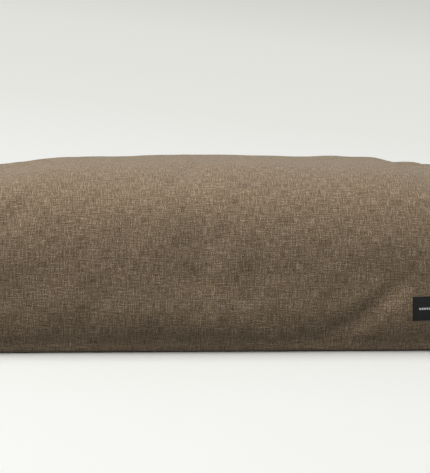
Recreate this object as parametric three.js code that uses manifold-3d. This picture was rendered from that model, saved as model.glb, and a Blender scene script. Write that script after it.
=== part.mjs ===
// A pet cushion bed: a foam slab and loose flake fill in a zipped liner bag, inside a zipped fabric cover
// with a plain woven tag on the front. Millimetres, +Z up, front towards -Y, origin on the floor at the centre.
import * as THREE from "three";
import { mergeVertices } from "three/addons/utils/BufferGeometryUtils.js";
import Module from "manifold-3d";

const wasm = await Module();
wasm.setup();

// ---- Driving dimensions ----
const length = 760; // along X, at the widest line
const depth = 560; // along Y, at the widest line
const height = 205; // floor to the crown
const cornerRadius = 120; // plan corners at the widest line
const cornerSegments = 8;

// Side profile, as setbacks from the widest line and heights above the floor.
const baseSetback = 24; // the seam round the base panel
const bandFoot = { setback: 10.5, z: 28 }; // the flat band round the sides that carries zips and tag
const bandTop = { setback: 2.5, z: 78 };
const widestHeight = 106;
const shoulderReach = 115; // from the widest line to where the shoulder has turned over
const shoulderPower = 2.7; // how squarely it turns
const domeRise = 4; // the last of the rise, from there to the crown
const shoulderSteps = [0.008, 0.026, 0.06, 0.115, 0.19, 0.3, 0.43, 0.6, 0.8, 1]; // shares of shoulderReach
const domeSteps = [0.3, 0.6, 1]; // shares of the way from there to the level crown
const flatTopHalfWidth = 40; // the level part of the crown, across Y
const flatTopCornerRadius = 34;

// Layers, each an inset from the outside of the cover.
const coverThickness = 1.5;
const linerInset = 5;
const linerThickness = 1;
const fillInset = 9.5;
const slabTop = 62; // top of the foam slab above the floor
const seamGap = 0.3; // between two pieces that are sewn or laid together

const endSeamFromEnd = 35; // each end panel's seam plane, in from the widest line
const tag = { width: 26, height: 25, thickness: 0.8, toCorner: 19, below: 7 };
const careLabel = { width: 32, height: 17, thickness: 0.5, along: 180, above: 6.5, depth: 3.3 };

// Zips. Sizes across the zip are from its centre line.
const chain = { halfGap: 0.8, rowWidth: 2.6, rowThickness: 1.8 };
const tape = { width: 16, thickness: 0.6, tail: 6 };
const zipSlotHalf = 6.2;
const zipEndMargin = 2; // from the end of the tape to where the band starts to turn the corner
const topStop = { length: 3.5, fromEnd: 3 };
const bottomStop = { length: 6, fromEnd: 3 };
const stopThickness = 2.1;
const slider = { length: 14, halfWidth: 5, tailHalfWidth: 4.4, plate: 1.2, flange: 1.2, bridgeLength: 3, bridgeHalf: 0.45 };
const sliderPlay = 0.3; // all round the chain
const lug = { halfLength: 4, halfWidth: 1.1, strap: 1, holeHalfLength: 2.6, holeHeight: 2.3, holeLift: 0.7 };
const puller = { length: 26, thickness: 1.2, bar: 0.7, armInner: 1.5, neckHalf: 3, tabHalf: 3.8, holeEnd: 6.5 };

// ---- Materials ----
const material = (color, roughness, metalness = 0) => new THREE.MeshStandardMaterial({ color, roughness, metalness });
const coverFabric = material(0x6f6150, 0.95);
const baseFabric = material(0x3a352f, 0.9);
const linerFabric = material(0xd8d3c8, 0.85);
const slabFoam = material(0xe6dfc8, 0.9);
const flakeFoam = material(0xd9d2bf, 0.95);
const tapeFabric = material(0x4a4136, 0.85);
const chainPlastic = material(0x3f382f, 0.5);
const zipMetal = material(0x2d2b29, 0.4, 0.8);
const tagWeave = material(0x1c1c1e, 0.7);
const careSatin = material(0xeeeeea, 0.6);

// ---- Booleans ----
function solidOf(geometry) {
  const bare = geometry.index ? geometry.toNonIndexed() : geometry.clone();
  bare.deleteAttribute("normal");
  bare.deleteAttribute("uv");
  const merged = mergeVertices(bare, 1e-4);
  return new wasm.Manifold(
    new wasm.Mesh({
      numProp: 3,
      vertProperties: new Float32Array(merged.attributes.position.array),
      triVerts: new Uint32Array(merged.index.array),
    }),
  );
}

function geometryOf(solid) {
  const mesh = solid.getMesh();
  const geometry = new THREE.BufferGeometry();
  geometry.setAttribute("position", new THREE.BufferAttribute(mesh.vertProperties, 3));
  geometry.setIndex(new THREE.BufferAttribute(mesh.triVerts, 1));
  geometry.computeVertexNormals();
  return geometry;
}

// A box between two corners, as a geometry.
function boxBetween([x0, y0, z0], [x1, y1, z1]) {
  const box = new THREE.BoxGeometry(x1 - x0, y1 - y0, z1 - z0);
  return box.translate((x0 + x1) / 2, (y0 + y1) / 2, (z0 + z1) / 2);
}

const boxSolid = (low, high) => solidOf(boxBetween(low, high));

// ---- The cushion's form ----
const crownReach = depth / 2 - flatTopHalfWidth; // how far in from the widest line the crown levels off

// Height of the form at a setback in from the widest line.
function crownHeight(setback) {
  const toCrown = 1 - Math.min(setback / shoulderReach, 1);
  const shoulder = Math.pow(1 - Math.pow(toCrown, shoulderPower), 1 / shoulderPower);
  const dome = THREE.MathUtils.smoothstep(setback, shoulderReach / 2, crownReach);
  return widestHeight + (height - domeRise - widestHeight) * shoulder + domeRise * dome;
}

// [setback, z] from the base seam up the side and in over the crown.
function sideProfile() {
  const points = [[baseSetback, 0], [bandFoot.setback, bandFoot.z], [bandTop.setback, bandTop.z], [0, widestHeight]];
  const inwards = [
    ...shoulderSteps.map((share) => share * shoulderReach),
    ...domeSteps.map((share) => THREE.MathUtils.lerp(shoulderReach, crownReach, share)),
  ];
  return [...points, ...inwards.map((setback) => [setback, crownHeight(setback)])];
}

// The profile moved inwards by an even distance, mitred at each corner.
function insetProfile(points, distance) {
  const inward = (from, to) => new THREE.Vector2(to[1] - from[1], from[0] - to[0]).normalize();
  const up = new THREE.Vector2(0, 1);
  const down = new THREE.Vector2(0, -1);
  return points.map(([setback, z], i) => {
    const before = i === 0 ? up : inward(points[i - 1], points[i]);
    const after = i === points.length - 1 ? down : inward(points[i], points[i + 1]);
    const mitre = before.clone().add(after).multiplyScalar(distance / (1 + before.dot(after)));
    return [setback + mitre.x, z + mitre.y];
  });
}

// The radius of the plan corners, which tighten towards the crown.
const radiusAt = (setback) => THREE.MathUtils.lerp(cornerRadius, flatTopCornerRadius, setback / crownReach);

// One level of the form: a rounded rectangle, anticlockwise from above.
function planOutline(setback, shift) {
  const radius = radiusAt(setback) - shift;
  const centreX = length / 2 - setback - shift - radius;
  const centreY = depth / 2 - setback - shift - radius;
  const outline = [];
  for (const [quarter, sideX, sideY] of [[0, 1, 1], [1, -1, 1], [2, -1, -1], [3, 1, -1]]) {
    for (let step = 0; step <= cornerSegments; step++) {
      const angle = (Math.PI / 2) * (quarter + step / cornerSegments);
      outline.push([sideX * centreX + radius * Math.cos(angle), sideY * centreY + radius * Math.sin(angle)]);
    }
  }
  return outline;
}

// The whole cushion, solid, with its surface moved in by inset.
function cushionSolid(inset) {
  const outer = sideProfile();
  const inner = insetProfile(outer, inset);
  const rings = inner.map(([setback, z], i) => {
    const outline = planOutline(outer[i][0], setback - outer[i][0]);
    return outline.map(([x, y]) => [x, y, z]);
  });
  const around = rings[0].length;
  const positions = rings.flat(2);
  const faces = [];
  for (let ring = 0; ring < rings.length - 1; ring++) {
    for (let i = 0; i < around; i++) {
      const a = ring * around + i;
      const b = ring * around + ((i + 1) % around);
      faces.push(a, b, b + around, a, b + around, a + around);
    }
  }
  const last = (rings.length - 1) * around;
  for (let i = 1; i < around - 1; i++) {
    faces.push(0, i + 1, i, last, last + i, last + i + 1);
  }
  const geometry = new THREE.BufferGeometry();
  geometry.setAttribute("position", new THREE.Float32BufferAttribute(positions, 3));
  geometry.setIndex(faces);
  return solidOf(geometry);
}

// ---- Frames on the flat side bands ----
const bandLean = Math.atan2(bandFoot.setback - bandTop.setback, bandTop.z - bandFoot.z);
const bandMid = { setback: (bandFoot.setback + bandTop.setback) / 2, z: (bandFoot.z + bandTop.z) / 2 };

// A group whose x runs along the side, y up the band and z straight out of it, with z 0 on the cover's surface.
function bandFrame(turn, fromCentre) {
  const side = new THREE.Group();
  side.rotation.z = turn;
  const frame = new THREE.Group();
  frame.position.set(0, bandMid.setback - fromCentre, bandMid.z);
  frame.rotation.x = Math.PI / 2 + bandLean;
  side.add(frame);
  side.updateMatrixWorld(true);
  return { side, frame };
}

const front = bandFrame(0, depth / 2);
const back = bandFrame(Math.PI, depth / 2);
const leftEnd = bandFrame(-Math.PI / 2, length / 2);

// Half the straight part of a band, at its foot, between the plan corners.
const bandHalf = (side) => side / 2 - bandFoot.setback - radiusAt(bandFoot.setback);
const zipHalfFor = (side) => bandHalf(side) - zipEndMargin - tape.tail;

// A slot through the skin in a band frame, as a solid in the part's frame.
function bandSlot(frame, halfLength, halfWidth, reach) {
  const box = boxBetween([-halfLength, -halfWidth, -reach], [halfLength, halfWidth, reach]);
  return solidOf(box.applyMatrix4(frame.matrixWorld));
}

// ---- Assembly ----
const bed = new THREE.Group();
bed.add(front.side, back.side, leftEnd.side);

function addPart(name, geometry, look, parent = bed) {
  const mesh = new THREE.Mesh(geometry, look);
  mesh.name = name;
  parent.add(mesh);
  return mesh;
}

const far = length + depth; // well outside the cushion
const halfSeam = seamGap / 2;
const coverZipHalf = zipHalfFor(length);
const linerZipHalf = zipHalfFor(depth);

function addCover() {
  const outside = cushionSolid(0);
  const skin = outside.subtract(cushionSolid(coverThickness));
  const seamX = length / 2 - endSeamFromEnd;
  const aboveBase = coverThickness + seamGap;
  const middle = boxSolid([-seamX + halfSeam, -far, aboveBase], [seamX - halfSeam, far, far]);
  const belowZip = boxSolid([-far, 0, -far], [far, far, bandMid.z - halfSeam]);
  const belowZipAndSeam = boxSolid([-far, 0, -far], [far, far, bandMid.z + halfSeam]);
  const slot = bandSlot(back.frame, coverZipHalf, zipSlotHalf, baseSetback);
  const panels = skin.intersect(middle).subtract(slot);

  addPart("cover_wrap_panel", geometryOf(panels.subtract(belowZipAndSeam)), coverFabric);
  addPart("cover_back_strip", geometryOf(panels.intersect(belowZip)), coverFabric);
  const pastLeftSeam = boxSolid([-far, -far, aboveBase], [-seamX - halfSeam, far, far]);
  const pastRightSeam = boxSolid([seamX + halfSeam, -far, aboveBase], [far, far, far]);
  addPart("cover_left_end_panel", geometryOf(skin.intersect(pastLeftSeam)), coverFabric);
  addPart("cover_right_end_panel", geometryOf(skin.intersect(pastRightSeam)), coverFabric);
  const floorLayer = boxSolid([-far, -far, -far], [far, far, coverThickness]);
  addPart("cover_base_panel", geometryOf(outside.intersect(floorLayer)), baseFabric);
}

function addLiner() {
  const outside = cushionSolid(linerInset);
  const skin = outside.subtract(cushionSolid(linerInset + linerThickness));
  const baseTop = linerInset + linerThickness;
  const above = boxSolid([-far, -far, baseTop + seamGap], [far, far, far]);
  const slot = bandSlot(leftEnd.frame, linerZipHalf, zipSlotHalf, baseSetback);
  addPart("liner_upper", geometryOf(skin.intersect(above).subtract(slot)), linerFabric);
  const baseLayer = boxSolid([-far, -far, -far], [far, far, baseTop]);
  addPart("liner_base", geometryOf(outside.intersect(baseLayer)), linerFabric);
}

function addFill() {
  const inside = cushionSolid(fillInset);
  const below = boxSolid([-far, -far, -far], [far, far, slabTop]);
  const above = boxSolid([-far, -far, slabTop + seamGap], [far, far, far]);
  addPart("foam_base_slab", geometryOf(inside.intersect(below)), slabFoam);
  addPart("flake_fill", geometryOf(inside.intersect(above)), flakeFoam);
}

// The tapes, tooth rows and stops of a zip. surface is the z of the fabric's outside and cloth its thickness.
function addZip(prefix, frame, zipHalf, surface, cloth) {
  const tapeOut = surface - cloth - seamGap;
  const tapeIn = tapeOut - tape.thickness;
  const rowIn = tapeOut + seamGap;
  const { halfGap, rowWidth, rowThickness } = chain;
  const rowFrom = -zipHalf + bottomStop.fromEnd + bottomStop.length + seamGap;
  const rowTo = zipHalf - topStop.fromEnd - topStop.length - seamGap;
  for (const [which, side] of [["upper", 1], ["lower", -1]]) {
    const strip = (from, to, near, wide, low, high) => {
      const [y0, y1] = side > 0 ? [near, near + wide] : [-near - wide, -near];
      return boxBetween([from, y0, low], [to, y1, high]);
    };
    const tapeHalf = zipHalf + tape.tail;
    const tapeBox = strip(-tapeHalf, tapeHalf, halfGap, tape.width, tapeIn, tapeOut);
    addPart(`${prefix}zip_tape_${which}`, tapeBox, tapeFabric, frame);
    const row = strip(rowFrom, rowTo, halfGap, rowWidth, rowIn, rowIn + rowThickness);
    addPart(`${prefix}zip_teeth_${which}`, row, chainPlastic, frame);
    const stopFrom = zipHalf - topStop.fromEnd - topStop.length;
    const stop = strip(stopFrom, stopFrom + topStop.length, halfGap, rowWidth, rowIn, rowIn + stopThickness);
    addPart(`${prefix}zip_top_stop_${which}`, stop, zipMetal, frame);
  }
  const across = halfGap + rowWidth;
  const stopEnd = -zipHalf + bottomStop.fromEnd + bottomStop.length;
  const block = boxBetween([stopEnd - bottomStop.length, -across, rowIn], [stopEnd, across, rowIn + stopThickness]);
  addPart(`${prefix}zip_bottom_stop`, block, zipMetal, frame);
  const rowOut = rowIn + rowThickness;
  const restX = zipHalf - topStop.fromEnd - topStop.length - sliderPlay - slider.length / 2;
  return { tapeOut, tapeIn, rowOut, restX };
}

// The slider's body: two plates joined by a bridge between the rows, with flanges down each side.
function sliderBody({ tapeOut, tapeIn, rowOut }) {
  const half = slider.length / 2;
  const outerPlate = new THREE.Shape([
    new THREE.Vector2(-half, -slider.tailHalfWidth),
    new THREE.Vector2(half * 0.4, -slider.halfWidth),
    new THREE.Vector2(half, -slider.halfWidth * 0.7),
    new THREE.Vector2(half, slider.halfWidth * 0.7),
    new THREE.Vector2(half * 0.4, slider.halfWidth),
    new THREE.Vector2(-half, slider.tailHalfWidth),
  ]);
  const plate = solidOf(new THREE.ExtrudeGeometry(outerPlate, { depth: slider.plate, bevelEnabled: false }));
  const top = rowOut + sliderPlay;
  const bottom = tapeIn - sliderPlay;
  const rowEdge = chain.halfGap + chain.rowWidth + sliderPlay;
  const flangeEdge = Math.min(rowEdge + slider.flange, slider.tailHalfWidth + 0.6);
  const flangeFoot = tapeOut + sliderPlay;
  const flanges = boxSolid([-half, -flangeEdge, flangeFoot], [half * 0.4, flangeEdge, top + slider.plate / 2]);
  const channel = boxSolid([-far, -rowEdge, bottom], [far, rowEdge, top]);
  const bridgeLow = bottom - slider.plate / 2;
  const bridge = boxSolid(
    [half - slider.bridgeLength, -slider.bridgeHalf, bridgeLow],
    [half, slider.bridgeHalf, top + slider.plate / 2],
  );
  return plate
    .translate([0, 0, top])
    .add(plate.translate([0, 0, bottom - slider.plate]))
    .add(flanges.subtract(channel))
    .add(bridge);
}

// A strap over the slider that the puller's bar hangs in, standing on z 0.
function lugSolid() {
  const outside = new THREE.Shape();
  const top = lug.holeLift + lug.holeHeight + lug.strap;
  const shoulder = lug.strap;
  outside.moveTo(-lug.halfLength, 0);
  outside.lineTo(lug.halfLength, 0);
  outside.lineTo(lug.halfLength, top - shoulder);
  outside.absarc(lug.halfLength - shoulder, top - shoulder, shoulder, 0, Math.PI / 2);
  outside.absarc(-lug.halfLength + shoulder, top - shoulder, shoulder, Math.PI / 2, Math.PI);
  outside.closePath();
  const hole = new THREE.Path();
  hole.moveTo(-lug.holeHalfLength, lug.holeLift);
  hole.lineTo(-lug.holeHalfLength, lug.holeLift + lug.holeHeight);
  hole.lineTo(lug.holeHalfLength, lug.holeLift + lug.holeHeight);
  hole.lineTo(lug.holeHalfLength, lug.holeLift);
  hole.closePath();
  outside.holes.push(hole);
  const strap = new THREE.ExtrudeGeometry(outside, { depth: 2 * lug.halfWidth, bevelEnabled: false, curveSegments: 4 });
  return solidOf(strap.rotateX(Math.PI / 2).translate(0, lug.halfWidth, 0));
}

// The puller, flat, with its bar on the origin and its tab towards -x.
function pullerGeometry() {
  const outline = new THREE.Shape();
  const tabCentre = -(puller.length - puller.tabHalf);
  outline.moveTo(puller.bar, -puller.neckHalf);
  outline.lineTo(puller.bar, puller.neckHalf);
  outline.lineTo(-puller.holeEnd, puller.neckHalf);
  outline.lineTo(-puller.holeEnd - 2 * puller.bar, puller.neckHalf - puller.bar);
  outline.lineTo(tabCentre, puller.tabHalf);
  outline.absarc(tabCentre, 0, puller.tabHalf, Math.PI / 2, (3 * Math.PI) / 2);
  outline.lineTo(-puller.holeEnd - 2 * puller.bar, -puller.neckHalf + puller.bar);
  outline.lineTo(-puller.holeEnd, -puller.neckHalf);
  outline.closePath();
  const hole = new THREE.Path();
  hole.moveTo(-puller.bar, -puller.armInner);
  hole.lineTo(-puller.holeEnd, -puller.armInner);
  hole.lineTo(-puller.holeEnd, puller.armInner);
  hole.lineTo(-puller.bar, puller.armInner);
  hole.closePath();
  outline.holes.push(hole);
  const plate = new THREE.ExtrudeGeometry(outline, { depth: puller.thickness, bevelEnabled: false, curveSegments: 6 });
  return plate.translate(0, 0, -puller.thickness / 2);
}

function addCoverZip() {
  const zip = addZip("", back.frame, coverZipHalf, 0, coverThickness);
  const plateTop = zip.rowOut + sliderPlay + slider.plate;
  const sunk = slider.plate / 2; // how far the lug's foot runs into the plate
  const body = sliderBody(zip).add(lugSolid().translate([0, 0, plateTop - sunk]));
  const sliderMesh = addPart("zip_slider", geometryOf(body), zipMetal, back.frame);
  sliderMesh.position.x = zip.restX;
  const pullerMesh = addPart("zip_puller", pullerGeometry(), zipMetal, back.frame);
  const pivot = plateTop - sunk + lug.holeLift + lug.holeHeight / 2;
  pullerMesh.position.set(zip.restX, 0, pivot);
}

// The liner's zip has a plain slider with no puller, so that a child can't open it.
function addLinerZip() {
  const zip = addZip("liner_", leftEnd.frame, linerZipHalf, -linerInset, linerThickness);
  const sliderMesh = addPart("liner_zip_slider", geometryOf(sliderBody(zip)), zipMetal, leftEnd.frame);
  sliderMesh.position.x = zip.restX;
}

function addLabels() {
  const tagX = bandHalf(length) - tag.toCorner - tag.width;
  const tagTop = tag.height / 2 - tag.below;
  const tagBox = boxBetween([tagX, tagTop - tag.height, seamGap], [tagX + tag.width, tagTop, seamGap + tag.thickness]);
  addPart("front_tag", tagBox, tagWeave, front.frame);
  const careBox = boxBetween(
    [careLabel.along, careLabel.above, -careLabel.depth - careLabel.thickness],
    [careLabel.along + careLabel.width, careLabel.above + careLabel.height, -careLabel.depth],
  );
  addPart("care_label", careBox, careSatin, back.frame);
}

addCover();
addCoverZip();
addLabels();
addLiner();
addLinerZip();
addFill();

export default bed;
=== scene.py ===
"""The pet cushion bed's looks: a simulated cover with sewn seams, zips, tag, inner bag and fill."""

import math

import bmesh
import bpy
import numpy as np
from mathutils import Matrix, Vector, noise
from mathutils.bvhtree import BVHTree
from mathutils.kdtree import KDTree


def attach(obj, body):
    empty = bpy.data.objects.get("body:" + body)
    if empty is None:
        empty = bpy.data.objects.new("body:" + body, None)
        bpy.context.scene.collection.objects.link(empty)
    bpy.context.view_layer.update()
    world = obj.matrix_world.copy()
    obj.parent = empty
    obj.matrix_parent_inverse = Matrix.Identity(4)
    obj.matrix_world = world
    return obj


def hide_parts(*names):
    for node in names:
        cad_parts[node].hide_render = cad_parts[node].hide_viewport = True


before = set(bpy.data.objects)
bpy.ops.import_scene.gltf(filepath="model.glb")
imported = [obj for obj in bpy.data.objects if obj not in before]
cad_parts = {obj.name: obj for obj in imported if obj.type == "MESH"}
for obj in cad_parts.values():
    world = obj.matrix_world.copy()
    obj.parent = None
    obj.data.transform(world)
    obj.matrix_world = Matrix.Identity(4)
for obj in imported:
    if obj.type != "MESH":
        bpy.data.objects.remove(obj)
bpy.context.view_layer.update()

MM = 0.001

# ---- Sizes, in millimetres, as in the CAD ----
HALF_X, HALF_Y, HEIGHT = 380, 280, 205
CORNER, TOP_CORNER = 120, 34
WIDEST, SHOULDER, SHOULDER_POWER, DOME, CROWN_REACH = 106, 115, 2.7, 4, 240
SIDE_Z, SIDE_SETBACK = (0, 28, 78, 106), (24, 10.5, 2.5, 0)
SEAM_X = 345
BAND_Z, BAND_SETBACK = 53, 6.5
LEAN = math.atan2(8, 50)
SIN, COS = math.sin(LEAN), math.cos(LEAN)
COVER_ZIP_HALF, LINER_ZIP_HALF = 245.26, 145.26
SLOT_HALF = 6.2

# Frames on the flat side bands: x along the side, y up the band, z straight out of it; and their origins.
BAND_Y, BAND_X = HALF_Y - BAND_SETBACK, HALF_X - BAND_SETBACK
BACK_BAND = np.array([[-1, 0, 0], [0, SIN, COS], [0, COS, -SIN]]), np.array([0, BAND_Y, BAND_Z])
FRONT_BAND = np.array([[1, 0, 0], [0, -SIN, COS], [0, -COS, -SIN]]), np.array([0, -BAND_Y, BAND_Z])
LEFT_BAND = np.array([[0, -1, 0], [-SIN, 0, COS], [-COS, 0, -SIN]]), np.array([-BAND_X, 0, BAND_Z])
UPWARD, OUTWARD = BACK_BAND[0][1], BACK_BAND[0][2]

# ---- How far the soft moves go, in millimetres ----
SIM_STEPS = 30
CLOTH = {
    "quality": 6, "mass": 0.25, "air_damping": 2, "use_pressure": True, "uniform_pressure_force": 2,
    "tension_stiffness": 140, "compression_stiffness": 140, "shear_stiffness": 50, "bending_stiffness": 0.5,
    "vertex_group_mass": "pin", "vertex_group_shrink": "shrink", "shrink_min": -0.012, "shrink_max": 0.06,
}
FINE_CAP, BROAD_CAP, BROAD_SHARE = 5, 4, 0.5  # on what the simulation moves
LUMPS = ((1.6, 105, 1), (1.0, 48, 2), (0.35, 21, 3))  # height, size and seed of the fill's lumps
LOW_BULGE = 5.5, 42, 26  # height, middle z and size of the belly low on the sides
FOOT_ROLL = 3.0, 3.6, 4.0  # the same for the roll where the cover meets the floor
# Folds on the front: depth, width, and the line as (x, z).
FOLDS = (
    (5.4, 11, [(60, 6), (108, 15), (150, 36), (190, 68), (216, 94)]),
    (2.8, 13, [(-238, 132), (-215, 150), (-186, 174)]),
    (2.2, 17, [(-150, 26), (-205, 44), (-250, 78)]),
)
# Bulges on the front: height, middle x and z, and size in x and z.
LOW_BUMP, HIGH_BUMP = (2.2, 168, 20, 34, 16), (3.4, -205, 186, 34, 22)
# Sewn seams: depth and width of the groove, and height and length of the puckers beside it.
SEWN = {"end": (2.6, 3.6, 0.9, 13), "base": (1.2, 3.5, 0.8, 12), "strip": (2.0, 3.2, 0.5, 11)}
# How far the crown lies below the CAD's: in the middle, how much more at the ends, and the x between.
CROWN_DROP, END_DROP, END_GROWS = 9.6, 9.0, (138, 250)
# Hollows and humps in the crown: middle x, size and depth.
HOLLOWS = ((-225, 40, 0.8), (-80, 36, 1.3), (-5, 26, -0.7), (118, 42, 1.5), (204, 21, -2.6), (229, 12, 0.8))


# ---- Camera ----
def put(name, data):
    """A new object in the scene."""
    made = bpy.data.objects.new(name, data)
    bpy.context.scene.collection.objects.link(made)
    return made


def aim(made, place, at):
    """Puts a camera or light at a place and turns it towards a point."""
    made.location = place
    made.rotation_mode = "QUATERNION"
    made.rotation_quaternion = (Vector(at) - Vector(place)).to_track_quat("-Z", "Y")


camera = bpy.data.cameras.new("camera")
camera.lens = 174  # mm
camera.clip_end = 50
AZIMUTH, ELEVATION, DISTANCE = math.radians(-3), math.radians(3.5), 2.4
target = Vector((0, -0.262, 0.1225))
back = Vector(
    (math.sin(AZIMUTH) * math.cos(ELEVATION), -math.cos(AZIMUTH) * math.cos(ELEVATION), math.sin(ELEVATION))
)
bpy.context.scene.camera = put("camera", camera)
aim(bpy.context.scene.camera, target + back * DISTANCE, target)


# ---- The cushion's form ----
def radius_at(setback):
    return CORNER + (TOP_CORNER - CORNER) * setback / CROWN_REACH


def smooth_step(x, low, high):
    t = np.clip((x - low) / (high - low), 0, 1)
    return t * t * (3 - 2 * t)


def crown_height(setback):
    to_crown = 1 - np.minimum(setback / SHOULDER, 1)
    shoulder = (1 - to_crown**SHOULDER_POWER) ** (1 / SHOULDER_POWER)
    rise = HEIGHT - DOME - WIDEST
    return WIDEST + rise * shoulder + DOME * smooth_step(setback, SHOULDER / 2, CROWN_REACH)


def side_setback(z):
    return np.interp(z, SIDE_Z, SIDE_SETBACK)


def reach(at, setback, half, half_out):
    """How far out the outline at a setback reaches, at a place along the half length half."""
    r = radius_at(setback)
    past = np.maximum(np.abs(at) - (half - setback - r), 0)
    return half_out - setback - r + np.sqrt(np.maximum(r * r - past * past, 0))


def setback_at(x, y):
    """Which outline of the crown passes through x, y."""
    x, y = np.broadcast_arrays(np.abs(x).astype(float), np.abs(y).astype(float))
    low, high = np.zeros(x.shape), np.full(x.shape, float(CROWN_REACH))
    for _ in range(32):
        mid = (low + high) / 2
        r = radius_at(mid)
        px, py = x - (HALF_X - mid - r), y - (HALF_Y - mid - r)
        away = np.hypot(np.maximum(px, 0), np.maximum(py, 0)) + np.minimum(np.maximum(px, py), 0) - r
        high = np.where(away > 0, mid, high)
        low = np.where(away > 0, low, mid)
    return (low + high) / 2


def at_lengths(points, wanted):
    """Points along a polyline at the wanted shares of its length."""
    run = np.concatenate([[0], np.cumsum(np.linalg.norm(np.diff(points, axis=0), axis=1))])
    return np.stack([np.interp(wanted * run[-1], run, points[:, k]) for k in range(points.shape[1])], 1)


BAND_ROWS, OVER_ROWS, COLUMNS, CORNER_ROWS = 5, 72, 66, 20
ROWS = OVER_ROWS + 2 * BAND_ROWS
ACROSS = ROWS - 2 * CORNER_ROWS


def section(x):
    """The wrap panel's line over the cushion at x, from the front of the base to the back, as (y, z)."""
    low = np.linspace(0, BAND_Z, 24)
    mid = np.linspace(BAND_Z, WIDEST, 24)
    foot, side = (np.stack([-reach(x, side_setback(z), HALF_X, HALF_Y), z], 1) for z in (low, mid))
    turn = -np.cos(np.linspace(0, math.pi, 600)) * reach(x, 0.0, HALF_X, HALF_Y)
    over = np.stack([turn, crown_height(setback_at(x, turn))], 1)
    other = side[::-1] * [-1, 1]
    foot = at_lengths(foot, np.linspace(0, 1, BAND_ROWS + 1))
    over = at_lengths(np.concatenate([side, over[1:-1], other]), np.linspace(0, 1, OVER_ROWS + 1))
    return np.concatenate([foot[:-1], over, (foot[::-1] * [-1, 1])[1:]])


def coons(bottom, top, left, right):
    """A grid [across][up] filled in between four edges that share their corners."""
    s = np.linspace(0, 1, len(bottom))[:, None, None]
    t = np.linspace(0, 1, len(left))[None, :, None]
    ruled = (1 - t) * bottom[:, None] + t * top[:, None] + (1 - s) * left[None] + s * right[None]
    corners = (1 - s) * (1 - t) * bottom[0] + s * (1 - t) * bottom[-1] + (1 - s) * t * top[0] + s * t * top[-1]
    return ruled - corners


def arc_grid(points, axis):
    """Length along an axis of a grid of points, from its middle."""
    step = np.linalg.norm(np.diff(points, axis=axis), axis=-1)
    run = np.concatenate([np.zeros_like(np.take(step, [0], axis)), np.cumsum(step, axis)], axis)
    return run - np.take(run, [run.shape[axis] // 2], axis)


WRAP, STRIP, LEFT_END, RIGHT_END, BASE = range(5)
EARLY, LATE = slice(None, -1), slice(1, None)
QUAD = ((EARLY, EARLY), (LATE, EARLY), (LATE, LATE), (EARLY, LATE))  # a grid's four points at each quad


def numbered(ids, grid, points):
    """Numbers a grid's new points, which have -1, after the points so far, and adds them to those."""
    new = ids < 0
    ids[new] = sum(map(len, points)) + np.arange(new.sum())
    points.append(grid[new])
    return new


def cushion_grid():
    """The welded skin: points in mm, quads, their panels, and the cloth's coordinates at each quad corner."""
    xs = np.linspace(-SEAM_X, SEAM_X, COLUMNS + 1)
    wrap = np.stack([np.column_stack([np.full(ROWS + 1, x), section(x)]) for x in xs])
    points = [wrap.reshape(-1, 3)]
    index = {WRAP: np.arange((COLUMNS + 1) * (ROWS + 1)).reshape(COLUMNS + 1, ROWS + 1)}
    grids = {WRAP: wrap}
    for panel, column, sign in ((LEFT_END, 0, -1), (RIGHT_END, COLUMNS, 1)):
        arch = wrap[column][:, 1:]
        edge = index[WRAP][column]
        across = np.linspace(arch[0, 0], arch[-1, 0], ACROSS + 1)
        bottom = np.column_stack([across, np.zeros(ACROSS + 1)])
        left, right = arch[: CORNER_ROWS + 1], arch[::-1][: CORNER_ROWS + 1]
        top = arch[CORNER_ROWS : ROWS - CORNER_ROWS + 1]
        flat = coons(bottom, top, left, right)
        z = flat[..., 1]
        over = np.linspace(0, SHOULDER, 400)
        setback = np.where(z < WIDEST, side_setback(z), np.interp(z, crown_height(over), over))
        out = reach(flat[..., 0], setback, HALF_Y, HALF_X)
        grid = np.concatenate([sign * out[..., None], flat], 2)
        ids = np.full((ACROSS + 1, CORNER_ROWS + 1), -1)
        ids[0], ids[-1] = edge[: CORNER_ROWS + 1], edge[::-1][: CORNER_ROWS + 1]
        ids[:, -1] = edge[CORNER_ROWS : ROWS - CORNER_ROWS + 1]
        for s, t in np.argwhere(~numbered(ids, grid, points)):
            grid[s, t] = points[0][ids[s, t]]
        index[panel], grids[panel] = ids, grid
    base_ids = np.full((COLUMNS + 1, ACROSS + 1), -1)
    base_ids[:, 0], base_ids[:, -1] = index[WRAP][:, 0], index[WRAP][:, -1]
    base_ids[0], base_ids[-1] = index[LEFT_END][:, 0], index[RIGHT_END][:, 0]
    so_far = np.concatenate(points)
    base = coons(so_far[base_ids[:, 0]], so_far[base_ids[:, -1]], so_far[base_ids[0]], so_far[base_ids[-1]])
    numbered(base_ids, base, points)
    index[BASE], grids[BASE] = base_ids, base
    quads, panels, coordinates = [], [], []
    for panel, ids in index.items():
        u, v = arc_grid(grids[panel], 0) * MM, arc_grid(grids[panel], 1) * MM
        face = np.stack([ids[c] for c in QUAD], -1)
        place = np.stack([np.stack([u[c], v[c]], -1) for c in QUAD], -2)
        which = np.full(face.shape[:2], panel)
        if panel == WRAP:
            which[:, ROWS - BAND_ROWS :] = STRIP
        if panel in (LEFT_END, BASE):
            face, place = face[..., ::-1], place[..., ::-1, :]
        quads.append(face.reshape(-1, 4))
        panels.append(which.reshape(-1))
        coordinates.append(place.reshape(-1, 4, 2))
    return np.concatenate(points), np.concatenate(quads), np.concatenate(panels), np.concatenate(coordinates)


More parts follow.
